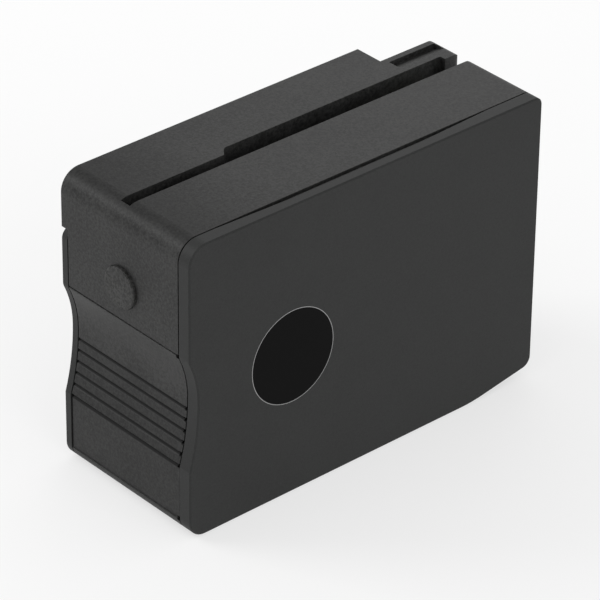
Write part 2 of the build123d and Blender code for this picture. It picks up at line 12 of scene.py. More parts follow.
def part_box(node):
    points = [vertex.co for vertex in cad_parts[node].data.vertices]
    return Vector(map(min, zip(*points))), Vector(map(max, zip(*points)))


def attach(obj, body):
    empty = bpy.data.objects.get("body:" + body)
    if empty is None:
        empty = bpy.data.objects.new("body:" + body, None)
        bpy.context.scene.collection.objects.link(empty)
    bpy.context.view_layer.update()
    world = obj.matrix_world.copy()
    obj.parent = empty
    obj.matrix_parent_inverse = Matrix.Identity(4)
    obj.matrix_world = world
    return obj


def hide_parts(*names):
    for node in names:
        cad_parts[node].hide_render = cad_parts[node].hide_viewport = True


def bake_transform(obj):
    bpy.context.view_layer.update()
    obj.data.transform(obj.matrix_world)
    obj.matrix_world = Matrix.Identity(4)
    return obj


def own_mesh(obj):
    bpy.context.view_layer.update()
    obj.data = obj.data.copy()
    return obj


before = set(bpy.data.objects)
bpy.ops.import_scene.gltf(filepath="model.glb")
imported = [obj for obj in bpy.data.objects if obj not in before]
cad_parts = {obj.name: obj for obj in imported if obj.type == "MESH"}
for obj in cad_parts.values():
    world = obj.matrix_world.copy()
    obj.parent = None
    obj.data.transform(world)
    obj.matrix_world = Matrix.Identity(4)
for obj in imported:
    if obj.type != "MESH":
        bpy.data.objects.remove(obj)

# Dresses a wide inkjet ink cartridge: moulded housing, regulator, outlet valve,
# air port and chip. Everything is in metres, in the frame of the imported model.

log = logging.getLogger("cartridge")

MM = 0.001
# Bend of a rounded normal at which wear and the painted highlight of an edge start, and at which
# they are full
EDGE_BEND = (0.01, 0.22)
BEVEL_SAMPLES = 6
WHITE = (1.0, 1.0, 1.0, 1.0)


class Grain(Enum):
    """How coarse a moulded surface is, as the size of its grain in metres."""

    FINE = 0.22 * MM
    COARSE = 0.34 * MM


class Axis(Enum):
    """Direction that a round piece is turned to, as the turn from +Z."""

    ALONG_X = (0.0, math.pi / 2, 0.0)
    ALONG_Y = (-math.pi / 2, 0.0, 0.0)


@dataclass(frozen=True)
class Signal:
    """A value in a node tree, which the signs of arithmetic work on."""

    sheet: "NodeSheet"
    socket: bpy.types.NodeSocket

    def maths(self, operation: str, *terms: "Signal | float") -> "Signal":
        """Add one Math node on values or links, in the order of its sockets."""
        values = dict(enumerate(terms))
        return self.sheet.signal("ShaderNodeMath", 0, {"operation": operation}, values)

    def alone(self, operation: str) -> "Signal":
        """Add one Math node that takes this value only."""
        return self.maths(operation, self)

    def __add__(self, other: "Signal | float") -> "Signal":
        """Sum."""
        return self.maths("ADD", self, other)

    def __radd__(self, other: float) -> "Signal":
        """Sum, with the number first."""
        return self.maths("ADD", other, self)

    def __sub__(self, other: "Signal | float") -> "Signal":
        """Difference."""
        return self.maths("SUBTRACT", self, other)

    def __rsub__(self, other: float) -> "Signal":
        """Difference, with the number first."""
        return self.maths("SUBTRACT", other, self)

    def __mul__(self, other: "Signal | float") -> "Signal":
        """Product."""
        return self.maths("MULTIPLY", self, other)

    def __rmul__(self, other: float) -> "Signal":
        """Product, with the number first."""
        return self.maths("MULTIPLY", other, self)

    def __truediv__(self, other: "Signal | float") -> "Signal":
        """Quotient."""
        return self.maths("DIVIDE", self, other)

    def least(self, other: "Signal | float") -> "Signal":
        """Smaller of two values."""
        return self.maths("MINIMUM", self, other)

    def most(self, other: "Signal | float") -> "Signal":
        """Larger of two values."""
        return self.maths("MAXIMUM", self, other)

    def ramp(self, low: float, high: float) -> "Signal":
        """Rise smoothly from 0 to 1.

        Args:
            low: value at which the result is 0.
            high: value at which the result is 1.

        Returns:
            The smooth step.
        """
        smooth = {"interpolation_type": "SMOOTHSTEP"}
        values = {"Value": self, "From Min": low, "From Max": high}
        return self.sheet.signal("ShaderNodeMapRange", 0, smooth, values)


class NodeSheet:
    """A node tree that is filled from Python."""

    def __init__(self, tree: bpy.types.NodeTree) -> None:
        """Start on an empty tree."""
        self.tree = tree

    def add(
        self, kind: str, settings: dict | None = None, values: dict | None = None
    ) -> bpy.types.Node:
        """Add one node.

        Args:
            kind: the node's type.
            settings: properties, which are set first.
            values: numbers or links of its sockets, by name or place.

        Returns:
            The new node.
        """
        node = self.tree.nodes.new(kind)
        for name, choice in (settings or {}).items():
            setattr(node, name, choice)
        for key, value in (values or {}).items():
            if isinstance(value, Signal):
                self.tree.links.new(value.socket, node.inputs[key])
            else:
                node.inputs[key].default_value = value
        return node

    def signal(
        self, kind: str, output: str | int, settings: dict | None = None, values: dict | None = None
    ) -> Signal:
        """Add one node, as add does, and take one output by its name or place."""
        return Signal(self, self.add(kind, settings, values).outputs[output])


class Skin(NodeSheet):
    """The node tree of one material, with the patterns that the finishes share."""

    def __init__(self, name: str) -> None:
        """Start an empty material.

        Args:
            name: the material's name.
        """
        self.material = bpy.data.materials.new(name)
        self.material.use_nodes = True
        self.material.node_tree.nodes.clear()
        super().__init__(self.material.node_tree)
        self.place = self.signal("ShaderNodeTexCoord", "Object")

    def noise(self, size: float, detail: float = 2.0, roughness: float = 0.5) -> Signal:
        """Cloudy pattern about 0.5, whose clouds have a size in metres."""
        values = {"Vector": self.place, "Scale": 1 / size, "Detail": detail, "Roughness": roughness}
        return self.signal("ShaderNodeTexNoise", 0, {"noise_dimensions": "3D"}, values)

    def cells(self, size: float) -> Signal:
        """Distance from the middle of small round cells, as spark erosion leaves."""
        values = {"Vector": self.place, "Scale": 1 / size}
        return self.signal("ShaderNodeTexVoronoi", "Distance", {"feature": "F1"}, values)

    def streaks(self, size: float, stretch: tuple[float, float, float]) -> Signal:
        """Noise that is drawn out along one axis.

        Args:
            size: size of the pattern in metres.
            stretch: share of the pattern's scale along each axis.

        Returns:
            A value about 0.5.
        """
        drawn = self.signal("ShaderNodeMapping", 0, {}, {"Vector": self.place, "Scale": stretch})
        values = {"Vector": drawn, "Scale": 1 / size, "Detail": 3.0}
        return self.signal("ShaderNodeTexNoise", 0, {}, values)

    def rounded(self, radius: float) -> Signal:
        """Normals that round off the edges to a radius in metres."""
        return self.signal("ShaderNodeBevel", 0, {"samples": BEVEL_SAMPLES}, {"Radius": radius})

    def edges(self, radius: float) -> Signal:
        """Mask of the corners and edges, where hands rub and where the black plastic gets a painted
        highlight.

        Args:
            radius: reach of the mask in metres.

        Returns:
            About 0 on a flat face and up to 1 at a sharp edge.
        """
        true_normal = self.signal("ShaderNodeNewGeometry", "Normal")
        soft = self.rounded(radius)
        dot = {"operation": "DOT_PRODUCT"}
        facing = self.signal("ShaderNodeVectorMath", "Value", dot, {0: soft, 1: true_normal})
        return (1 - facing).ramp(*EDGE_BEND)

    def mix(self, amount: Signal | float, low: tuple, high: tuple | Signal) -> Signal:
        """Blend two linear colours, from the low one at 0 to the high one at 1."""
        values = {0: amount, 6: rgba(low), 7: rgba(high)}
        return self.signal("ShaderNodeMix", 2, {"data_type": "RGBA"}, values)

    def bump(self, height: Signal, depth: float, normal: Signal | None = None) -> Signal:
        """Raise the surface by a pattern.

        Args:
            height: the pattern, from 0 to 1.
            depth: how deep it is in metres.
            normal: normals that it adds to.

        Returns:
            The new normals.
        """
        values = {"Height": height, "Distance": depth}
        if normal is not None:
            values["Normal"] = normal
        return self.signal("ShaderNodeBump", 0, {}, values)

    def surface(self, values: dict) -> bpy.types.Material:
        """Close the material with one Principled shader.

        Args:
            values: numbers or links of the shader's sockets.

        Returns:
            The finished material.
        """
        shader = self.signal("ShaderNodeBsdfPrincipled", 0, {}, values)
        self.add("ShaderNodeOutputMaterial", {}, {"Surface": shader})
        return self.material


def rgba(colour: tuple | Signal) -> tuple | Signal:
    """Give a plain colour its fourth number, and leave a link as it is."""
    return colour if isinstance(colour, Signal) else (*colour, 1.0)


def scaled(colour: tuple[float, float, float], share: float) -> tuple[float, ...]:
    """Make a colour darker or lighter by one factor."""
    return tuple(share * part for part in colour)


def wave_scale(pitch: float) -> float:
    """Scale of a Wave Texture whose bands lie at a pitch in metres."""
    return 1 / (pitch * math.tau / 2)


@dataclass(frozen=True)
class PaintedGripShade:
    """Painted shade on the body: dark lines in the grip's grooves, a darker band over its ribs, and
    a top that darkens towards the front.
    """

    top: float = 25.7 * MM
    bottom: float = 14.4 * MM
    ribs: int = 5
    below: float = 0.34 * MM
    below_last: float = 0.55 * MM
    above: float = 0.40 * MM
    reach: float = 4.0 * MM
    strength: float = 0.94
    # share of painted shade over the whole ribbed band
    film: float = 0.22
    crown_low: float = 58.8 * MM
    crown_high: float = 60.0 * MM
    crown_start: float = 2.0 * MM
    crown_reach: float = 25.0 * MM
    # share of painted shade on the front of the top, which darkens it towards the front
    crown_shade: float = 0.38
    soft: float = 0.06 * MM
    # colour of the painted shade
    colour: tuple[float, float, float] = (0.002, 0.002, 0.002)
    dull: float = 0.18

    def mask(self, skin: Skin, front: float) -> Signal:
        """Find where shade is painted on a piece: the grooves and the two darker bands.

        Args:
            skin: the material's tree.
            front: where the piece's front is, along X.

        Returns:
            0 where no shade is painted, and up to the strength in the grooves.
        """
        split = skin.add("ShaderNodeSeparateXYZ", {}, {"Vector": skin.place})
        along, height = Signal(skin, split.outputs["X"]), Signal(skin, split.outputs["Z"])
        # painted shade: dark lines along the grooves, where shade falls
        pitch = (self.top - self.bottom) / self.ribs
        place = (height - self.bottom) / pitch
        nearest = place.alone("ROUND").most(0.0).least(float(self.ribs))
        above_line = (place - nearest) * pitch
        sunk = self.below_last + (self.below - self.below_last) * nearest.least(1.0)
        lower = (above_line + sunk).ramp(-self.soft, self.soft)
        upper = 1 - above_line.ramp(self.above - self.soft, self.above + self.soft)
        reach = front + self.reach
        near_front = 1 - along.ramp(reach - self.soft, reach + self.soft)
        # painted shade: a thin darkening over the ribbed band
        rib_shade = self.film * (1 - height.ramp(self.top, self.top + pitch / 2))
        ribbed = (self.strength * lower * upper).most(rib_shade) * near_front
        # painted shade: the top darkens towards the front
        on_top = height.ramp(self.crown_low, self.crown_high)
        fading = 1 - along.ramp(front + self.crown_start, front + self.crown_reach)
        return ribbed.most(self.crown_shade * on_top * fading)


@dataclass(frozen=True)
class MouldedBlack:
    """Black housing plastic with a spark-eroded grain, and edges that are lighter from polishing by
    hands and from a painted highlight.
    """

    name: str
    grain: Grain
    colour: tuple[float, float, float] = (0.0225, 0.0225, 0.0220)
    mottle: float = 1.0
    # edge colour, for wear and for a painted highlight
    worn_and_highlit: tuple[float, float, float] = (0.042, 0.043, 0.041)
    roughness: float = 0.56
    depth: float = 0.012 * MM
    edge: float = 0.10 * MM
    darkest: float = 0.35
    lightest: float = 1.65
    gloss: float = 0.26
    # painted shade of the grip and the top, if any
    painted_shade: PaintedGripShade | None = None

    def build(self) -> bpy.types.Material:
        """Make the material.

        Returns:
            The finished material.
        """
        skin = Skin(self.name)
        pits = skin.cells(self.grain.value)
        clouds = skin.noise(self.grain.value * 1.7, 3.0, 0.62)
        flow = skin.noise(9 * MM, 2.0)
        # edges lighter from wear and from a painted highlight
        rubbed_and_highlit = skin.edges(self.edge) * (0.55 + 0.45 * skin.noise(1.6 * MM).ramp(0.35, 0.65))
        speckle = 0.4 * (pits - 0.5) + 1.6 * (clouds - 0.5) + 0.5 * (flow - 0.5)
        tone = (0.5 + self.mottle * speckle).ramp(0.0, 1.0)
        dark = scaled(self.colour, self.darkest)
        light = scaled(self.colour, self.lightest)
        colour = skin.mix(rubbed_and_highlit, (0.0, 0.0, 0.0), self.worn_and_highlit)
        tinted = skin.signal(
            "ShaderNodeMix", 2, {"data_type": "RGBA", "blend_type": "ADD"},
            {0: 1.0, 6: skin.mix(tone, dark, light), 7: colour},
        )
        rough = self.roughness + 0.12 * (clouds - 0.5) - 0.14 * rubbed_and_highlit + 0.06 * (flow - 0.5)
        # painted shade in the grip's grooves, over its ribs and on the front of the top; it also
        # dulls them
        if self.painted_shade is not None:
            shade_mask = self.painted_shade.mask(skin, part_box("body")[0].x)
            tinted = skin.mix(shade_mask, tinted, self.painted_shade.colour)
            rough = rough + self.painted_shade.dull * shade_mask
        normal = skin.bump(0.6 * pits + 0.4 * clouds, self.depth, skin.rounded(self.edge))
        values = {"Base Color": tinted, "Roughness": rough, "Normal": normal}
        return skin.surface({**values, "Specular IOR Level": self.gloss})


@dataclass(frozen=True)
class MouldedWhite:
    """Natural white plastic of the moving pieces, a little translucent and as moulded."""

    name: str = "moulded_white"
    colour: tuple[float, float, float] = (0.66, 0.65, 0.61)
    shade: float = 0.86
    depth: float = 0.01 * MM
    edge: float = 0.08 * MM
    milky: float = 0.08
    milky_depth: float = 0.5 * MM

    def build(self) -> bpy.types.Material:
        """Make the material.

        Returns:
            The finished material.
        """
        skin = Skin(self.name)
        flow = skin.noise(3 * MM, 2.0)
        marks = skin.streaks(0.8 * MM, (1.0, 0.15, 1.0))
        tint = scaled(self.colour, self.shade)
        colour = skin.mix(0.6 * flow + 0.4 * skin.edges(0.15 * MM), tint, self.colour)
        normal = skin.bump(marks, self.depth, skin.rounded(self.edge))
        return skin.surface(
            {
                "Base Color": colour,
                "Roughness": 0.38 + 0.12 * marks,
                "Normal": normal,
                "Subsurface Weight": self.milky,
                "Subsurface Scale": self.milky_depth,
            }
        )


@dataclass(frozen=True)
class SealRubber:
    """Soft black rubber of the seals, with a dull bloom and fine mould texture."""

    name: str = "seal_rubber"
    colour: tuple[float, float, float] = (0.024, 0.024, 0.025)
    bloom: float = 2.1
    depth: float = 0.008 * MM
    edge: float = 0.12 * MM

    def build(self) -> bpy.types.Material:
        """Make the material.

        Returns:
            The finished material.
        """
        skin = Skin(self.name)
        bloom = skin.noise(1.1 * MM, 4.0, 0.65)
        dusty = scaled(self.colour, self.bloom)
        normal = skin.bump(skin.noise(0.12 * MM, 2.0), self.depth, skin.rounded(self.edge))
        colour = skin.mix(bloom.ramp(0.35, 0.75), self.colour, dusty)
        return skin.surface(
            {
                "Base Color": colour,
                "Roughness": 0.72 + 0.18 * bloom,
                "Normal": normal,
                "Sheen Weight": 0.08,
            }
        )


@dataclass(frozen=True)
class DrawnSteel:
    """Bright spring steel with drawing marks, and darker where it was wound."""

    name: str = "drawn_steel"
    colour: tuple[float, float, float] = (0.60, 0.60, 0.61)
    shade: float = 0.62
    depth: float = 0.004 * MM

    def build(self) -> bpy.types.Material:
        """Make the material.

        Returns:
            The finished material.
        """
        skin = Skin(self.name)
        marks = skin.streaks(0.15 * MM, (1.0, 1.0, 0.2))
        stain = skin.noise(2 * MM, 3.0)
        tint = scaled(self.colour, self.shade)
        normal = skin.bump(marks, self.depth)
        return skin.surface(
            {
                "Base Color": skin.mix(stain.ramp(0.4, 0.7), self.colour, tint),
                "Metallic": 1.0,
                "Roughness": 0.22 + 0.22 * marks,
                "Normal": normal,
            }
        )


@dataclass(frozen=True)
class WovenScreen:
    """Fine woven wire of the ink filter, as a pattern of crossing wires."""

    name: str = "woven_screen"
    pitch: float = 0.28 * MM
    gap: tuple[float, float, float] = (0.10, 0.10, 0.10)
    wire: tuple[float, float, float] = (0.56, 0.56, 0.55)
    depth: float = 0.06 * MM

    def build(self) -> bpy.types.Material:
        """Make the material.

        Returns:
            The finished material.
        """
        skin = Skin(self.name)
        settings = {"wave_type": "BANDS", "wave_profile": "SIN"}
        values = {"Vector": skin.place, "Scale": wave_scale(self.pitch)}
        warp, weft = (
            skin.signal("ShaderNodeTexWave", "Fac", {**settings, "bands_direction": way}, values)
            for way in ("Y", "Z")
        )
        wires = warp.most(weft)
        colour = skin.mix(wires.ramp(0.2, 0.8), self.gap, self.wire)
        normal = skin.bump(wires, self.depth)
        return skin.surface(
            {
                "Base Color": colour,
                "Metallic": 1.0,
                "Roughness": 0.5 - 0.2 * wires,
                "Normal": normal,
            }
        )


@dataclass(frozen=True)
class BoardMask:
    """Green solder mask of the chip board, with copper tracks that show through it."""

    name: str = "board_mask"
    colour: tuple[float, float, float] = (0.016, 0.085, 0.042)
    track: tuple[float, float, float] = (0.030, 0.150, 0.070)
    pitch: float = 2.4 * MM
    depth: float = 0.02 * MM
    edge: float = 0.05 * MM

    def build(self) -> bpy.types.Material:
        """Make the material.

        Returns:
            The finished material.
        """
        skin = Skin(self.name)
        settings = {"wave_type": "BANDS", "bands_direction": "X", "wave_profile": "TRI"}
        values = {"Vector": skin.place, "Scale": wave_scale(self.pitch), "Distortion": 0.4}
        lines = skin.signal("ShaderNodeTexWave", "Fac", settings, values).ramp(0.72, 0.78)
        weave = skin.noise(0.25 * MM, 3.0)
        colour = skin.mix(lines, self.colour, self.track)
        normal = skin.bump(0.8 * lines + 0.2 * weave, self.depth, skin.rounded(self.edge))
        return skin.surface(
            {
                "Base Color": colour,
                "Roughness": 0.30 + 0.15 * weave,
                "Normal": normal,
                "Coat Weight": 0.3,
            }
        )


@dataclass(frozen=True)
class GoldPad:
    """Gold plated contact, with the small scratches that probes leave."""

    name: str = "gold_pad"
    colour: tuple[float, float, float] = (0.78, 0.57, 0.24)
    tarnish: float = 0.7
    depth: float = 0.006 * MM

    def build(self) -> bpy.types.Material:
        """Make the material.

        Returns:
            The finished material.
        """
        skin = Skin(self.name)
        scratches = skin.streaks(0.12 * MM, (1.0, 1.0, 0.06)).ramp(0.55, 0.75)
        tarnish = scaled(self.colour, self.tarnish)
        normal = skin.bump(scratches, self.depth)
        return skin.surface(
            {
                "Base Color": skin.mix(skin.noise(1.5 * MM), self.colour, tarnish),
                "Metallic": 1.0,
                "Roughness": 0.24 + 0.22 * scratches,
                "Normal": normal,
            }
        )


@dataclass(frozen=True)
class CastResin:
    """Black resin cast over the die, glossy with slow ripples."""

    name: str = "cast_resin"
    darkest: tuple[float, float, float] = (0.012, 0.012, 0.013)
    lightest: tuple[float, float, float] = (0.022, 0.022, 0.024)
    depth: float = 0.05 * MM
    edge: float = 0.15 * MM

    def build(self) -> bpy.types.Material:
        """Make the material.

        Returns:
            The finished material.
        """
        skin = Skin(self.name)
        ripple = skin.noise(0.9 * MM, 1.0)
        colour = skin.mix(ripple, self.darkest, self.lightest)
        normal = skin.bump(ripple, self.depth, skin.rounded(self.edge))
        rough = 0.16 + 0.1 * ripple
        return skin.surface({"Base Color": colour, "Roughness": rough, "Normal": normal})


@dataclass(frozen=True)
class MetalFilm:
    """Silver barrier film of the bag and the vent, with fine creases."""

    name: str = "metal_film"
    colour: tuple[float, float, float] = (0.58, 0.59, 0.60)
    sharpness: float = 9.0
    shade: float = 0.78
    depth: float = 0.10 * MM

    def build(self) -> bpy.types.Material:
        """Make the material.

        Returns:
            The finished material.
        """
        skin = Skin(self.name)
        creases = skin.noise(1.8 * MM, 5.0, 0.7)
        folds = (1 - (creases - 0.5).alone("ABSOLUTE") * self.sharpness).most(0.0)
        tint = scaled(self.colour, self.shade)
        normal = skin.bump(0.6 * folds + 0.4 * creases, self.depth)
        return skin.surface(
            {
                "Base Color": skin.mix(creases, tint, self.colour),
                "Metallic": 0.85,
                "Roughness": 0.30 + 0.20 * creases,
                "Normal": normal,
            }
        )


@dataclass(frozen=True)
class PrintInk:
    """Pad-printed ink of the colour mark, smoother than the plastic round it."""

    name: str
    colour: tuple[float, float, float]
    roughness: float = 0.48
    gloss: float = 0.2
    darkest: float = 0.85
    lightest: float = 1.15
    depth: float = 0.004 * MM

    def build(self) -> bpy.types.Material:
        """Make the material.

        Returns:
            The finished material.
        """
        skin = Skin(self.name)
        film = skin.noise(0.4 * MM, 3.0)
        dark = scaled(self.colour, self.darkest)
        light = scaled(self.colour, self.lightest)
        normal = skin.bump(film, self.depth)
        return skin.surface(
            {
                "Base Color": skin.mix(film, dark, light),
                "Roughness": self.roughness + 0.1 * (film - 0.5),
                "Normal": normal,
                "Specular IOR Level": self.gloss,
            }
        )


class Socket(Enum):
    """Kinds of input that a recipe has."""

    NUMBER = "NodeSocketFloat"
    COUNT = "NodeSocketInt"
    PLACE = "NodeSocketVector"
    TURN = "NodeSocketRotation"
    FINISH = "NodeSocketMaterial"


class Recipe(NodeSheet):
    """A Geometry Nodes tree with named inputs, which ends in one plain mesh."""

    def __init__(self, name: str, inputs: dict[str, Socket]) -> None:
        """Start the tree.

        Args:
            name: the tree's name.
            inputs: each input's name, with its kind.
        """
        super().__init__(bpy.data.node_groups.new(name, "GeometryNodeTree"))
        panel = self.tree.interface
        panel.new_socket("Geometry", in_out="OUTPUT", socket_type="NodeSocketGeometry")
        self.keys = {}
        for label, kind in inputs.items():
            socket = panel.new_socket(label, in_out="INPUT", socket_type=kind.value)
            self.keys[label] = socket.identifier
        self.source = self.add("NodeGroupInput")

    def given(self, label: str) -> Signal:
        """Link to one of the named inputs."""
        return Signal(self, self.source.outputs[label])

    def close(self, geometry: Signal) -> None:
        """End the tree in real geometry, in its place and with its material.

        Args:
            geometry: what the tree made.
        """
        spot = {"Translation": self.given("Origin"), "Rotation": self.given("Turn")}
        put = self.signal("GeometryNodeTransform", 0, {}, {"Geometry": geometry, **spot})
        real = self.signal("GeometryNodeRealizeInstances", 0, {}, {"Geometry": put})
        values = {"Geometry": real, "Material": self.given("Finish")}
        finished = self.signal("GeometryNodeSetMaterial", 0, {}, values)
        self.add("NodeGroupOutput", {}, {0: finished})

    def cast(self, name: str, values: dict[str, object]) -> bpy.types.Object:
        """Run the tree once and keep its result as a plain mesh.

        Args:
            name: the piece's name.
            values: a value for each named input.

        Returns:
            The new piece, with no modifier left on it.
        """
        piece = bpy.data.objects.new(name, bpy.data.meshes.new(name + "_seed"))
        modifier = piece.modifiers.new(self.tree.name, "NODES")
        modifier.node_group = self.tree
        for label, value in values.items():
            modifier[self.keys[label]] = value
        bpy.context.scene.collection.objects.link(piece)
        depsgraph = bpy.context.evaluated_depsgraph_get()
        mesh = bpy.data.meshes.new_from_object(piece.evaluated_get(depsgraph))
        piece.modifiers.clear()
        piece.data = mesh
        mesh.name = name
        return piece


def new_piece(
    name: str, form: bmesh.types.BMesh, material: bpy.types.Material, smooth: bool = True
) -> bpy.types.Object:
    """Turn mesh code's result into a piece.

    Args:
        name: the piece's name.
        form: the finished form, which is freed.
        material: its finish.
        smooth: whether its faces blend into each other.

    Returns:
        The new piece, at the origin.
    """
    bmesh.ops.recalc_face_normals(form, faces=form.faces)
    mesh = bpy.data.meshes.new(name)
    form.to_mesh(mesh)
    form.free()
    mesh.materials.append(material)
    mesh.polygons.foreach_set("use_smooth", [smooth] * len(mesh.polygons))
    piece = bpy.data.objects.new(name, mesh)
    bpy.context.scene.collection.objects.link(piece)
    return piece


def turned(profile: list[tuple[float, float]], place: Matrix, steps: int) -> bmesh.types.BMesh:
    """Turn a closed profile about an axis.

    Args:
        profile: radius and height of each corner, round the section.
        place: where the axis stands.
        steps: how many flats the round has.

    Returns:
        The closed form.
    """
    form = bmesh.new()
    rings = []
    for radius, height in profile:
        ring = []
        for step in range(steps):
            turn = math.tau * step / steps
            point = Vector((radius * math.cos(turn), radius * math.sin(turn), height))
            ring.append(form.verts.new(place @ point))
        rings.append(ring)
    for ring, above in zip(rings, rings[1:] + rings[:1]):
        for step in range(steps):
            after = (step + 1) % steps
            form.faces.new((ring[step], ring[after], above[after], above[step]))
    return form


def middle(low: Vector, high: Vector) -> Vector:
    """Point halfway between two corners."""
    return (low + high) / 2


def dress(node: str, material: bpy.types.Material) -> None:
    """Give a carried-over node its finish.

    Args:
        node: the node's name.
        material: its finish.
    """
    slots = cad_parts[node].data.materials
    slots.clear()
    slots.append(material)


@dataclass
class Housing:
    """Moulded tank, its two lids, its three caps and the film over its vent."""

    tank: MouldedBlack = field(
        default_factory=lambda: MouldedBlack(
            # the tank carries the painted shade of its grip and its top
            "tank_black", Grain.COARSE, mottle=1.1, roughness=0.50, painted_shade=PaintedGripShade()
        )
    )
    lids: MouldedBlack = field(
        default_factory=lambda: MouldedBlack(
            "lid_black", Grain.FINE, colour=(0.0197, 0.0202, 0.0199), mottle=0.35
        )
    )
    trim: MouldedBlack = field(
        default_factory=lambda: MouldedBlack(
            "trim_black", Grain.COARSE, colour=(0.0300, 0.0300, 0.0290), mottle=1.4
        )
    )
    lid_nodes: tuple[str, ...] = ("right_cover", "left_cover")
    trim_nodes: tuple[str, ...] = ("fill_cap", "outlet_cap", "air_cap")

    def build(self) -> None:
        """Dress the moulded pieces."""
        dress("body", self.tank.build())
        lid_finish = self.lids.build()
        for node in self.lid_nodes:
            dress(node, lid_finish)
        trim_finish = self.trim.build()
        for node in self.trim_nodes:
            dress(node, trim_finish)
        dress("vent_film", MetalFilm("vent_foil").build())
        log.info("housing: body, %d lids, %d caps", len(self.lid_nodes), len(self.trim_nodes))


@dataclass
class ColourMark:
    """Round printed mark on the right lid, near the grip, with a thin pale rim."""

    centre_from_front: float = 23.9 * MM
    centre_height: float = 29.2 * MM
    radius: float = 9.6 * MM
    rim: float = 0.12 * MM
    thickness: float = 0.02 * MM
    sunk: float = 0.05 * MM
    hub: float = 0.02 * MM
    steps: int = 128

    def place(self) -> Matrix:
        """Frame of the mark, with its axis out of the right face.

        Returns:
            The frame, in metres.
        """
        low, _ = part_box("right_cover")
        spot = Vector((low.x + self.centre_from_front, low.y, self.centre_height))
        return Matrix.Translation(spot) @ Matrix.Rotation(math.pi / 2, 4, "X")

    def band(self, inner: float, outer: float) -> bmesh.types.BMesh:
        """Flat ring of ink, sunk a little into the lid.

        Args:
            inner: its inner radius.
            outer: its outer radius.

        Returns:
            The closed form.
        """
        low, high = -self.sunk, self.thickness
        profile = [(inner, low), (outer, low), (outer, high), (inner, high)]
        return turned(profile, self.place(), self.steps)

    def disc(self) -> bpy.types.Object:
        """Dark field of the mark.

        Returns:
            The printed disc.
        """
        form = self.band(self.hub, self.radius - self.rim)
        for height in (-self.sunk, self.thickness):
            form.faces.new([vert for vert in form.verts if self.is_hub(vert, height)])
        finish = PrintInk("mark_dark", (0.0050, 0.0050, 0.0050), gloss=0.03).build()
        return new_piece("mark_disc", form, finish, smooth=False)

    def is_hub(self, vert: bmesh.types.BMVert, height: float) -> bool:
        """Tell whether a point is on the small ring that closes a face."""
        point = self.place().inverted() @ vert.co
        return point.to_2d().length < 2 * self.hub and abs(point.z - height) < self.thickness / 2

    def ring(self) -> bpy.types.Object:
        """Pale rim of the mark.

        Returns:
            The printed ring.
        """
        finish = PrintInk("mark_pale", (0.32, 0.32, 0.32)).build()
        form = self.band(self.radius - self.rim, self.radius)
        return new_piece("mark_rim", form, finish, smooth=False)

    def build(self) -> None:
        """Print both fields on the lid."""
        for piece in (self.disc(), self.ring()):
            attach(piece, "housing")
        log.info("colour mark: disc and rim, %.1f mm across", 2 * self.radius / MM)


@dataclass
class Coil:
    """Round-wire compression spring with closed ends, in place of a plain coil."""

    node: str
    axis: Axis
    wire: float
    turns: float
    closed_turns: float = 1.0
    joint: str = ""
    travel: float = 0.0
    steps_per_turn: ClassVar[int] = 26
    steps_round_wire: ClassVar[int] = 10

    @classmethod
    def recipe(cls) -> Recipe:
        """Tree of a spring whose end turns lie against each other.

        Returns:
            The tree, with its sizes as inputs.
        """
        sizes = ("Radius", "Length", "Wire", "Turns", "Closed Turns")
        kinds = {label: Socket.NUMBER for label in sizes}
        kinds |= {"Origin": Socket.PLACE, "Turn": Socket.TURN, "Finish": Socket.FINISH}
        tree = Recipe("compression_coil", kinds)
        radius, length, wire = tree.given("Radius"), tree.given("Length"), tree.given("Wire")
        turns, closed = tree.given("Turns"), tree.given("Closed Turns")
        free = turns - 2 * closed
        climb = (length - wire * (1 + 2 * closed)) / free
        way = tree.signal("GeometryNodeSplineParameter", "Factor") * turns
        first = wire * way.least(closed)
        open_run = climb * (way - closed).most(0.0).least(free)
        last = wire * (way + closed - turns).most(0.0)
        rise = first + open_run + last + wire / 2
        run = {"Resolution": cls.steps_per_turn, "Rotations": turns, "Height": 0.0}
        run |= {"Start Radius": radius, "End Radius": radius}
        flat = tree.signal("GeometryNodeCurveSpiral", 0, {}, run)
        lift = tree.signal("ShaderNodeCombineXYZ", 0, {}, {"Z": rise})
        moved = {"Geometry": flat, "Offset": lift}
        route = tree.signal("GeometryNodeSetPosition", 0, {}, moved)
        round_wire = {"Resolution": cls.steps_round_wire, "Radius": wire / 2}
        section = tree.signal("GeometryNodeCurvePrimitiveCircle", 0, {}, round_wire)
        values = {"Curve": route, "Profile Curve": section, "Fill Caps": True}
        tube = tree.signal("GeometryNodeCurveToMesh", 0, {}, values)
        tree.close(tree.signal("GeometryNodeSetShadeSmooth", 0, {}, {"Geometry": tube}))
        return tree

    def build(self, tree: Recipe, finish: bpy.types.Material) -> None:
        """Wind the spring where its node is.

        Args:
            tree: the spring's tree.
            finish: its steel.
        """
        low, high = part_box(self.node)
        lengthwise = 0 if self.axis is Axis.ALONG_X else 1
        start = middle(low, high)
        start[lengthwise] = low[lengthwise]
        length = high[lengthwise] - low[lengthwise]
        radius = (high.z - low.z - self.wire) / 2
        values = {
            "Radius": radius,
            "Length": length,
            "Wire": self.wire,
            "Turns": self.turns,
            "Closed Turns": self.closed_turns,
            "Origin": start,
            "Turn": self.axis.value,
            "Finish": finish,
        }
        piece = tree.cast(self.node + "_wound", values)
        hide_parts(self.node)
        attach(piece, "housing")
        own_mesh(piece)
        log.info("spring %s: %.1f turns, %.1f mm long", self.node, self.turns, length / MM)


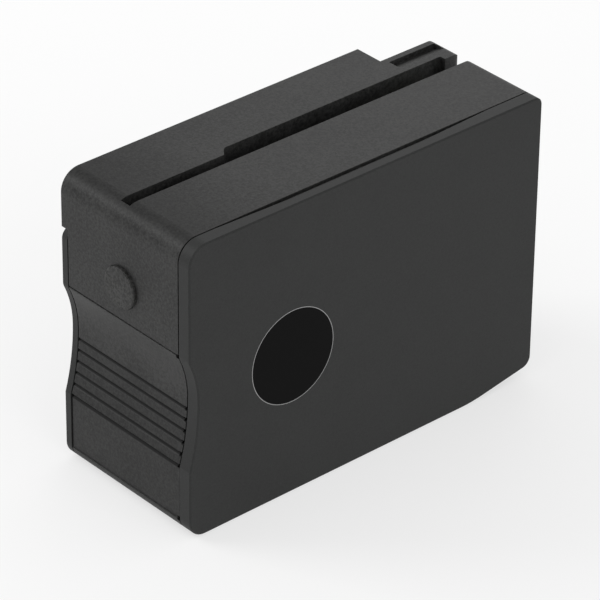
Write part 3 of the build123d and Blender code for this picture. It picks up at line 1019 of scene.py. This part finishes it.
@dataclass
class FilmBag:
    """Barrier film bag of the regulator: crowned faces inside a flat welded seam.

    The shares of the form count widths of the seam inward from the edge: the film
    stays flat over the first, and rises to its full height over the second.
    """

    seam: float = 3.0 * MM
    corner: float = 8.5 * MM
    film: float = 0.3 * MM
    least_corner: float = 1.2 * MM
    clearance: float = 0.02 * MM
    steps_round: int = 14
    rings: int = 9
    flat_share: float = 0.8
    crown_share: float = 1.4
    pucker: float = 0.10 * MM
    pucker_step: float = 1.9
    pucker_band: tuple[float, float] = (0.2, 0.8)

    def outline(self, half_x: float, half_z: float, corner: float) -> list[tuple[float, float]]:
        """Rounded rectangle about the bag's middle.

        Args:
            half_x: half its length.
            half_z: half its height.
            corner: radius of its corners.

        Returns:
            Its points in order, as many for each inset.
        """
        points = []
        for quarter, (side_x, side_z) in enumerate(((1, 1), (-1, 1), (-1, -1), (1, -1))):
            hub_x = side_x * (half_x - corner)
            hub_z = side_z * (half_z - corner)
            for step in range(self.steps_round + 1):
                turn = (quarter + step / self.steps_round) * math.pi / 2
                x, z = corner * math.cos(turn), corner * math.sin(turn)
                points.append((hub_x + x, hub_z + z))
        return points

    def height(self, inset: float, depth: float) -> float:
        """Height of a face over the bag's middle plane, without its puckers.

        Args:
            inset: distance inward from the bag's edge.
            depth: height of the crown.

        Returns:
            The height, at least half the film's thickness.
        """
        rise = (inset - self.seam * self.flat_share) / (self.seam * self.crown_share)
        swell = depth * math.sin(math.pi / 2 * max(0.0, rise))
        return max(self.film / 2, min(depth, swell))

    def loop(self, share: float, side: int) -> list[Vector]:
        """Points of the bag at one inset, from its box.

        Args:
            share: 1.0 at the bag's edge and 0.0 at the rim of its crown.
            side: 1 on the left face and -1 on the right one.

        Returns:
            The points in order.
        """
        low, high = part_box("air_bag")
        centre = middle(low, high)
        half_x, half_y, half_z = ((far - near) / 2 for near, far in zip(low, high))
        inset = self.seam * (self.flat_share + self.crown_share) * (1 - share)
        lift = self.height(inset, half_y - self.clearance)
        corner = max(self.corner - inset, self.least_corner)
        first, last = self.pucker_band
        pucker = self.pucker if first < share < last else 0.0
        points = []
        for index, (x, z) in enumerate(self.outline(half_x - inset, half_z - inset, corner)):
            ripple = abs(pucker * math.sin(index * self.pucker_step))
            y = side * max(self.film / 2, lift - ripple)
            points.append(Vector((centre.x + x, centre.y + y, centre.z + z)))
        return points

    def build(self) -> None:
        """Make the bag in place of its node."""
        form = bmesh.new()
        shares = [number / self.rings for number in range(self.rings + 1)]
        rows = [self.loop(share, 1) for share in shares]
        rows += [self.loop(1 - share, -1) for share in shares]
        loops = [[form.verts.new(point) for point in row] for row in rows]
        for loop, after in zip(loops, loops[1:]):
            for index in range(len(loop)):
                follow = (index + 1) % len(loop)
                form.faces.new((loop[index], loop[follow], after[follow], after[index]))
        form.faces.new(loops[0])
        form.faces.new(loops[-1])
        piece = new_piece("film_bag", form, MetalFilm("bag_foil").build())
        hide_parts("air_bag")
        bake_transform(piece)
        log.info("film bag: %d loops, seam %.1f mm", len(loops), self.seam / MM)


@dataclass
class Regulator:
    """Bag, plate, fitting and spring that hold the ink at a slight suction."""

    bag: FilmBag = field(default_factory=FilmBag)
    spring: Coil = field(
        default_factory=lambda: Coil(
            "bag_spring", Axis.ALONG_Y, 0.8 * MM, 6.0, joint="plate_slide", travel=5.0 * MM
        )
    )

    def build(self, tree: Recipe, steel: bpy.types.Material, white: bpy.types.Material) -> None:
        """Make and dress the regulator.

        Args:
            tree: the springs' tree.
            steel: finish of the spring.
            white: finish of the plate and the fitting.
        """
        self.bag.build()
        self.spring.build(tree, steel)
        for node in ("bag_plate", "bag_fitting"):
            dress(node, white)
        log.info("regulator: bag, plate, fitting and spring")


@dataclass
class InkOutlet:
    """Sealed outlet in the rear face: seal, valve, spring and filter screen."""

    spring: Coil = field(
        default_factory=lambda: Coil(
            "valve_spring", Axis.ALONG_X, 0.5 * MM, 5.5, joint="valve_slide", travel=2.0 * MM
        )
    )

    def build(self, tree: Recipe, steel: bpy.types.Material, white: bpy.types.Material) -> None:
        """Make and dress the outlet.

        Args:
            tree: the springs' tree.
            steel: finish of the spring.
            white: finish of the valve.
        """
        rubber = SealRubber().build()
        for node in ("outlet_seal", "air_seal", "fill_plug"):
            dress(node, rubber)
        dress("outlet_valve", white)
        dress("outlet_filter", WovenScreen().build())
        self.spring.build(tree, steel)
        log.info("ink outlet: seals, valve, filter and spring")


@dataclass
class ChipBoard:
    """Contact board in the slot, with plated holes above and below its pads."""

    columns: int = 5
    rows: int = 2
    pitch: float = 2.4 * MM
    hole_radius: float = 0.22 * MM
    ring_width: float = 0.14 * MM
    row_from_edge: float = 0.75 * MM
    steps_round_hole: ClassVar[int] = 20
    steps_round_wall: ClassVar[int] = 8

    @classmethod
    def recipe(cls) -> Recipe:
        """Tree that sets a small ring at each point of a grid.

        Returns:
            The tree, with its sizes as inputs.
        """
        kinds = {"Columns": Socket.COUNT, "Rows": Socket.COUNT}
        kinds |= {label: Socket.NUMBER for label in ("Width", "Depth", "Outer", "Tube")}
        kinds |= {"Origin": Socket.PLACE, "Turn": Socket.TURN, "Finish": Socket.FINISH}
        tree = Recipe("plated_holes", kinds)
        counts = {"Vertices X": tree.given("Columns"), "Vertices Y": tree.given("Rows")}
        spans = {"Size X": tree.given("Width"), "Size Y": tree.given("Depth")}
        points = tree.signal("GeometryNodeMeshGrid", "Mesh", {}, {**counts, **spans})
        round_path = {"Resolution": cls.steps_round_hole, "Radius": tree.given("Outer")}
        loop = tree.signal("GeometryNodeCurvePrimitiveCircle", 0, {}, round_path)
        section = {"Resolution": cls.steps_round_wall, "Radius": tree.given("Tube")}
        wall = tree.signal("GeometryNodeCurvePrimitiveCircle", 0, {}, section)
        ring = tree.signal("GeometryNodeCurveToMesh", 0, {}, {"Curve": loop, "Profile Curve": wall})
        smooth = tree.signal("GeometryNodeSetShadeSmooth", 0, {}, {"Geometry": ring})
        copies = {"Points": points, "Instance": smooth}
        tree.close(tree.signal("GeometryNodeInstanceOnPoints", 0, {}, copies))
        return tree

    def build(self) -> None:
        """Dress the board and add its plated holes."""
        gold = GoldPad().build()
        dress("chip_board", BoardMask().build())
        dress("chip_contacts", gold)
        dress("chip_die", CastResin().build())
        low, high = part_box("chip_board")
        centre = middle(low, high)
        values = {
            "Columns": self.columns,
            "Rows": self.rows,
            "Width": (self.columns - 1) * self.pitch,
            "Depth": high.z - low.z - 2 * self.row_from_edge,
            "Outer": self.hole_radius + self.ring_width / 2,
            "Tube": self.ring_width / 2,
            "Origin": Vector((centre.x, high.y, centre.z)),
            "Turn": Axis.ALONG_Y.value,
            "Finish": gold,
        }
        piece = self.recipe().cast("board_holes", values)
        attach(piece, "housing")
        log.info("chip board: %d plated holes", self.columns * self.rows)


@dataclass(frozen=True)
class Lamp:
    """One soft area lamp that points at the cartridge."""

    name: str
    azimuth: float
    elevation: float
    distance: float
    width: float
    watts: float

    def build(self, target: Vector) -> None:
        """Hang the lamp.

        Args:
            target: what it points at.
        """
        light = bpy.data.lights.new(self.name, "AREA")
        light.shape = "SQUARE"
        light.size = self.width
        light.energy = self.watts
        lamp = bpy.data.objects.new(self.name, light)
        back = towards(self.azimuth, self.elevation)
        lamp.location = target + back * self.distance
        lamp.rotation_mode = "QUATERNION"
        lamp.rotation_quaternion = (-back).to_track_quat("-Z", "Y")
        bpy.context.scene.collection.objects.link(lamp)


def towards(azimuth: float, elevation: float) -> Vector:
    """Direction from the object to where one looks from.

    Args:
        azimuth: degrees; 0 looks along +Y.
        elevation: degrees above the floor.

    Returns:
        A vector of length 1.
    """
    turn, rise = math.radians(azimuth), math.radians(elevation)
    flat = math.cos(rise)
    return Vector((math.sin(turn) * flat, -math.cos(turn) * flat, math.sin(rise)))


@dataclass
class Studio:
    """Pale floor, soft light and the photograph's camera."""

    azimuth: float = -41.746
    elevation: float = 31.819
    roll: float = 0.699
    distance: float = 755.08 * MM
    lens: float = 248.65
    sensor: float = 36.0
    target: tuple[float, float, float] = (-2.151 * MM, -1.907 * MM, 27.131 * MM)
    floor_size: float = 6.0
    floor_gap: float = 0.1 * MM
    floor_dark: tuple[float, float, float] = (0.94, 0.94, 0.94)
    floor_light: tuple[float, float, float] = (0.95, 0.95, 0.95)
    floor_speck: float = 40 * MM
    clip: tuple[float, float] = (0.01, 20.0)
    glow: float = 0.6
    ambient: float = 0.70
    lamps: tuple[Lamp, ...] = (
        Lamp("left", -143.0, 35.0, 1.0, 0.45, 3.0),
        Lamp("sheen", 128.6, 28.6, 0.48, 0.25, 0.20),
        Lamp("fill", -4.0, 24.0, 1.2, 0.90, 3.4),
    )

    def camera(self) -> None:
        """Set up the camera as the photograph was taken."""
        data = bpy.data.cameras.new("camera")
        data.lens = self.lens
        data.sensor_width = self.sensor
        data.sensor_fit = "HORIZONTAL"
        data.clip_start, data.clip_end = self.clip
        back = towards(self.azimuth, self.elevation)
        turn = math.radians(self.azimuth)
        right = Vector((math.cos(turn), math.sin(turn), 0.0))
        up = back.cross(right)
        tilt = math.radians(self.roll)
        side = math.cos(tilt) * right + math.sin(tilt) * up
        top = -math.sin(tilt) * right + math.cos(tilt) * up
        place = Matrix((side, top, back)).transposed().to_4x4()
        place.translation = Vector(self.target) + back * self.distance
        camera = bpy.data.objects.new("camera", data)
        camera.matrix_world = place
        bpy.context.scene.collection.objects.link(camera)
        bpy.context.scene.camera = camera

    def floor(self) -> None:
        """Lay the pale floor, which looks nearly white and keeps the shadow."""
        form = bmesh.new()
        bmesh.ops.create_grid(form, x_segments=1, y_segments=1, size=self.floor_size / 2)
        bmesh.ops.translate(form, verts=form.verts, vec=(0.0, 0.0, -self.floor_gap))
        skin = Skin("pale_floor")
        speckle = skin.noise(self.floor_speck, 2.0)
        colour = skin.mix(speckle, self.floor_dark, self.floor_light)
        values = {"Base Color": colour, "Roughness": 0.9, "Specular IOR Level": 0.0}
        paper = skin.signal("ShaderNodeBsdfPrincipled", 0, {}, values)
        white = {"Color": WHITE, "Strength": 1.0}
        glow = skin.signal("ShaderNodeEmission", 0, {}, white)
        path = skin.add("ShaderNodeLightPath")
        seen = Signal(skin, path.outputs["Is Camera Ray"])
        for ray in ("Is Glossy Ray", "Is Transmission Ray"):
            seen = seen.most(Signal(skin, path.outputs[ray]))
        both = skin.signal("ShaderNodeMixShader", 0, {}, {0: self.glow * seen, 1: paper, 2: glow})
        skin.add("ShaderNodeOutputMaterial", {}, {"Surface": both})
        floor = new_piece("floor", form, skin.material)

    def world(self) -> None:
        """Light the scene evenly from all round."""
        world = bpy.data.worlds.new("studio")
        world.use_nodes = True
        world.node_tree.nodes.clear()
        sheet = NodeSheet(world.node_tree)
        values = {"Color": WHITE, "Strength": self.ambient}
        sky = sheet.signal("ShaderNodeBackground", 0, {}, values)
        sheet.add("ShaderNodeOutputWorld", {}, {"Surface": sky})
        bpy.context.scene.world = world

    def build(self) -> None:
        """Set up the whole studio."""
        self.camera()
        self.floor()
        self.world()
        for lamp in self.lamps:
            lamp.build(Vector(self.target))
        bpy.context.scene.view_settings.view_transform = "Standard"
        log.info("studio: camera, floor and %d lamps", len(self.lamps))


def main() -> None:
    """Build and dress every sub-assembly, in order."""
    logging.basicConfig(level=logging.INFO, format="%(name)s: %(message)s")
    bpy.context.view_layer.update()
    Studio().build()
    Housing().build()
    ColourMark().build()
    springs = Coil.recipe()
    steel = DrawnSteel().build()
    white = MouldedWhite().build()
    Regulator().build(springs, steel, white)
    InkOutlet().build(springs, steel, white)
    ChipBoard().build()


if __name__ == "__main__":
    main()
